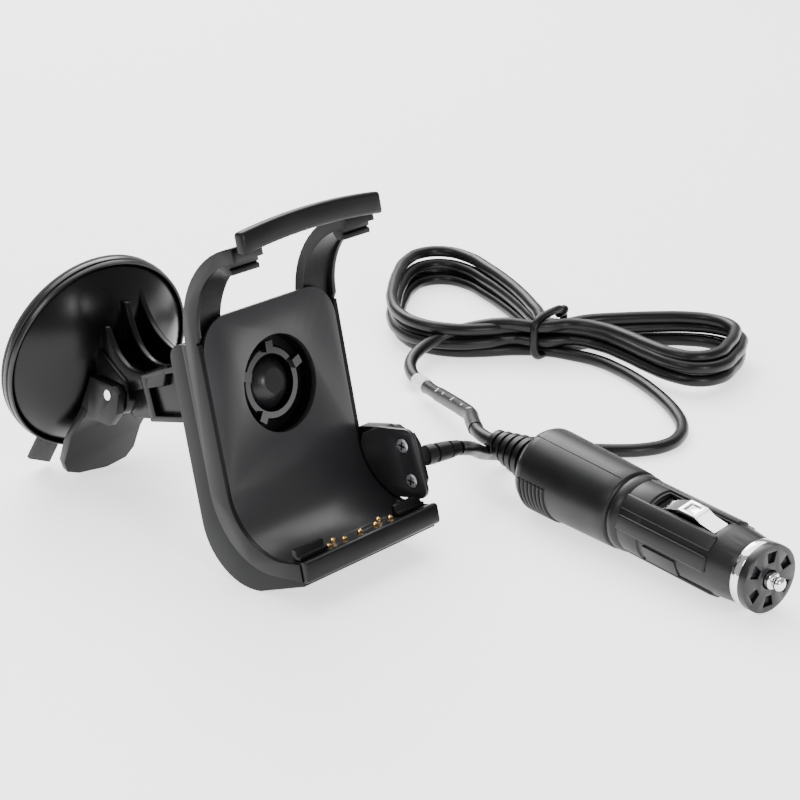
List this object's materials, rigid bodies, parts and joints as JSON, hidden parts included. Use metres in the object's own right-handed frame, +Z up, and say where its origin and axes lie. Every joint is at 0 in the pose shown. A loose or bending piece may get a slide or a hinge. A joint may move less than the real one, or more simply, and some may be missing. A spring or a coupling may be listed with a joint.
{
  "type": "navigator suction mount",
  "caption": "Suction mount for a handheld navigator: leaning cradle with contact pins, ball joint, lever-locked cup, and a 12 V lighter-socket lead wound in a tied hank.",
  "frame": {"origin": "on the surface it rests on, under the middle of the box round the mount without its lead", "axes": "+Y from the cradle's open face back to the suction cup, which is the mount's longest extent; +X across the cradle towards the power module; +Z up"},
  "size_m": [0.2395, 0.2557, 0.0996],
  "materials": {
    "plate_plastic": "satin",
    "frame_plastic": "satin",
    "gloss_black": "gloss",
    "liner_plastic": "satin",
    "pad_rubber": "matte",
    "cord_rubber": "satin",
    "plug_plastic": "satin",
    "chrome": "polished",
    "steel": "satin",
    "brass": "polished",
    "board": "satin",
    "fuse_glass": "clear",
    "label": "matte"
  },
  "bodies": {
    "cradle": {"face_plate": "plate_plastic", "side_frame": "frame_plastic", "top_bar": "frame_plastic", "rear_shell": "frame_plastic", "front_lip": "frame_plastic", "guide_blocks": "frame_plastic", "contact_block": "frame_plastic", "circuit_board": "board", "socket_cup": "frame_plastic", "socket_ring": "gloss_black", "shell_screws": "steel", "module_cover": "plate_plastic", "module_housing": "frame_plastic", "module_screws": "chrome", "cable_boot": "cord_rubber", "cord_lead": "cord_rubber", "cord_hank": "cord_rubber", "cord_tail": "cord_rubber", "cord_tie": "cord_rubber", "cord_label": "label", "cord_sleeve": "cord_rubber", "plug_boot": "cord_rubber", "plug_housing_left": "plug_plastic", "plug_housing_right": "plug_plastic", "plug_nose": "plug_plastic", "nose_ring": "chrome", "nose_cap": "plug_plastic", "tip_spring": "steel", "converter_board": "board"},
    "liner": {"socket_liner": "liner_plastic"},
    "joint_ball": {"ball": "liner_plastic"},
    "mount_arm": {"dome_arm": "gloss_black", "arm_cover": "frame_plastic", "rim_ring": "frame_plastic", "suction_pad": "pad_rubber", "lever_pin": "chrome"},
    "stud": {"pull_stud": "steel"},
    "lock_lever": {"lever": "frame_plastic"},
    "pin_1": {"contact_pin_1": "brass"},
    "pin_2": {"contact_pin_2": "brass"},
    "pin_3": {"contact_pin_3": "brass"},
    "pin_4": {"contact_pin_4": "brass"},
    "pin_5": {"contact_pin_5": "brass"},
    "pin_6": {"contact_pin_6": "brass"},
    "pin_7": {"contact_pin_7": "brass"},
    "plug_tip": {"tip_pin": "chrome", "fuse": "fuse_glass"},
    "contact_a": {"side_contact_a": "chrome"},
    "contact_b": {"side_contact_b": "chrome"}
  },
  "joints": [
    {"name": "ball_pan", "type": "hinge", "parent": "cradle", "child": "liner", "pos_m": [-0.00395, -0.01953, 0.0455], "axis": [0, 0.225, 0.9744], "range_deg": [-14, 14]},
    {"name": "ball_tilt", "type": "hinge", "parent": "liner", "child": "joint_ball", "pos_m": [-0.00395, -0.01953, 0.0455], "axis": [1, 0, 0], "range_deg": [-14, 14]},
    {"name": "arm_twist", "type": "hinge", "parent": "joint_ball", "child": "mount_arm", "pos_m": [-0.00395, -0.01953, 0.0455], "axis": [0.0149, 0.9509, -0.309], "continuous": true},
    {"name": "lever_swing", "type": "hinge", "parent": "mount_arm", "child": "lock_lever", "pos_m": [-0.00308, 0.02853, 0.0308], "axis": [-0.988, 0.1079, 0.1103], "range_deg": [0, 80]},
    {"name": "stud_slide", "type": "slide", "parent": "mount_arm", "child": "stud", "axis": [0.1306, 0.9656, 0.225], "range_m": [0, 0.003]},
    {"name": "pin_1_press", "type": "slide", "parent": "cradle", "child": "pin_1", "axis": [0, -0.225, -0.9744], "range_m": [0, 0.0009], "stiffness_N_per_m": 500},
    {"name": "pin_2_press", "type": "slide", "parent": "cradle", "child": "pin_2", "axis": [0, -0.225, -0.9744], "range_m": [0, 0.0009], "stiffness_N_per_m": 500},
    {"name": "pin_3_press", "type": "slide", "parent": "cradle", "child": "pin_3", "axis": [0, -0.225, -0.9744], "range_m": [0, 0.0009], "stiffness_N_per_m": 500},
    {"name": "pin_4_press", "type": "slide", "parent": "cradle", "child": "pin_4", "axis": [0, -0.225, -0.9744], "range_m": [0, 0.0009], "stiffness_N_per_m": 500},
    {"name": "pin_5_press", "type": "slide", "parent": "cradle", "child": "pin_5", "axis": [0, -0.225, -0.9744], "range_m": [0, 0.0009], "stiffness_N_per_m": 500},
    {"name": "pin_6_press", "type": "slide", "parent": "cradle", "child": "pin_6", "axis": [0, -0.225, -0.9744], "range_m": [0, 0.0009], "stiffness_N_per_m": 500},
    {"name": "pin_7_press", "type": "slide", "parent": "cradle", "child": "pin_7", "axis": [0, -0.225, -0.9744], "range_m": [0, 0.0009], "stiffness_N_per_m": 500},
    {"name": "tip_press", "type": "slide", "parent": "cradle", "child": "plug_tip", "axis": [0.1805, 0.9833, 0.025], "range_m": [0, 0.0025], "stiffness_N_per_m": 2500},
    {"name": "contact_a_press", "type": "hinge", "parent": "cradle", "child": "contact_a", "pos_m": [0.05328, -0.11537, 0.0189], "axis": [0.9533, -0.1811, 0.2418], "range_deg": [0, 7], "stiffness_Nm_per_rad": 0.6},
    {"name": "contact_b_press", "type": "hinge", "parent": "cradle", "child": "contact_b", "pos_m": [0.05716, -0.11569, 0.00338], "axis": [-0.9533, 0.1811, -0.2418], "range_deg": [-5, 0.5], "stiffness_Nm_per_rad": 0.6}
  ],
  "couplings": [
    {"joint": "stud_slide", "follows": "lever_swing", "m_per_rad": 0.0021486}
  ]
}
